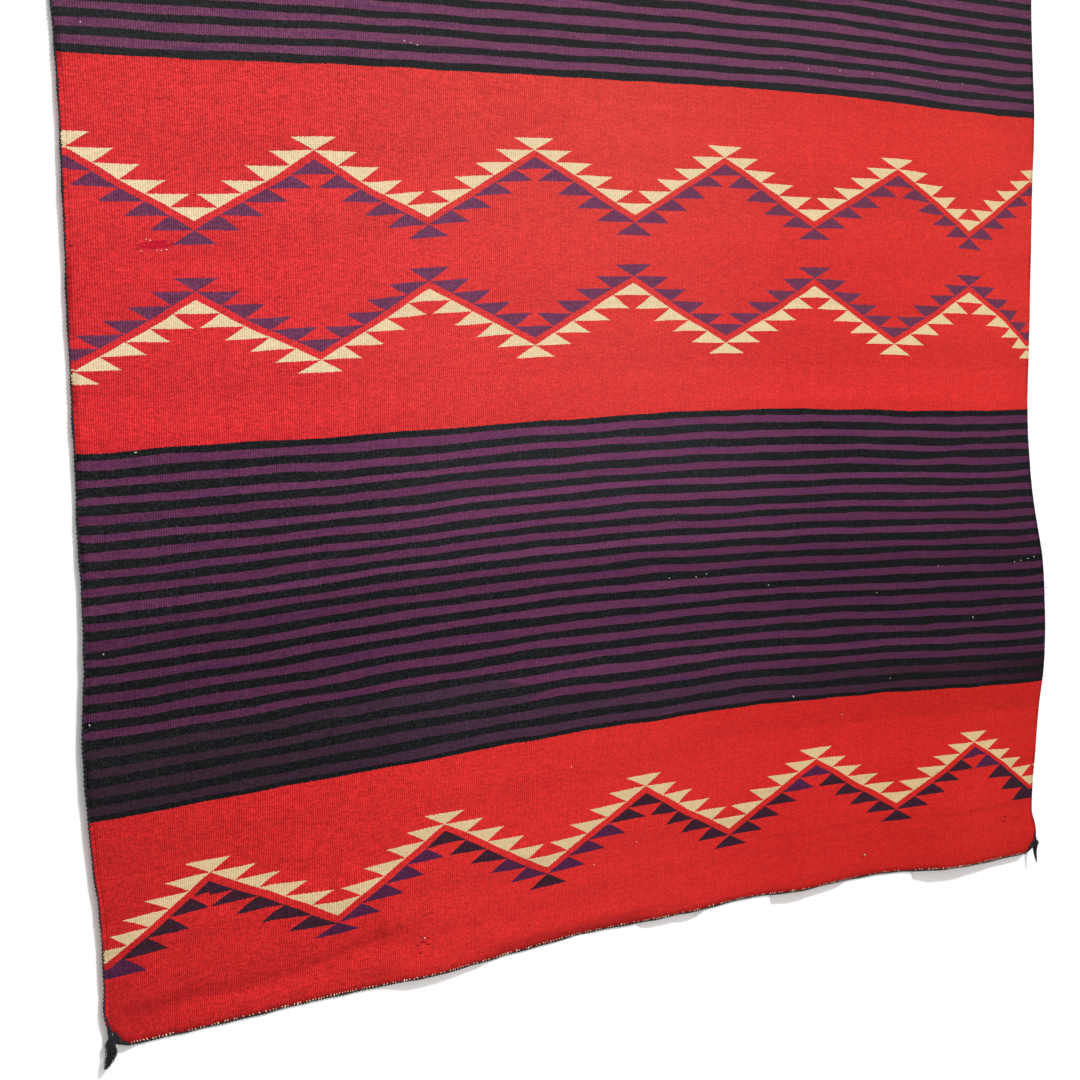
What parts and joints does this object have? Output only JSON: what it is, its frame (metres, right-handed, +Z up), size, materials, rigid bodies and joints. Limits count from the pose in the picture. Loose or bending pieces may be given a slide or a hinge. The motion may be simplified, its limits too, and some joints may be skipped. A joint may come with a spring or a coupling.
{
  "type": "hand-woven serape blanket with corded edges",
  "caption": "Hand-woven wool serape hung by its top edge: red bands with stepped zigzags, fine dark stripes, twined edge cords and corner tassels.",
  "frame": {"origin": "middle of the top edge, on top of the top end cord, in the plane in which the top edge hangs", "axes": "+Z up; the woven face looks towards -Y; +X to the right for someone who looks at the face"},
  "size_m": [1.3083, 0.0236, 1.6562],
  "materials": {
    "woven_wool": "weft-faced wool tapestry weave, matte with a faint fuzz",
    "black_cord": "twined black wool cord, matte",
    "tassel_yarn": "loose black wool yarn, matte"
  },
  "bodies": {
    "root": {"serape_cloth": "woven_wool", "side_cord_left": "black_cord", "side_cord_right": "black_cord", "end_cord_top": "black_cord", "end_cord_bottom": "black_cord", "tassel_bottom_left": "tassel_yarn", "tassel_bottom_right": "tassel_yarn", "tassel_top_left": "tassel_yarn", "tassel_top_right": "tassel_yarn"}
  },
  "joints": []
}
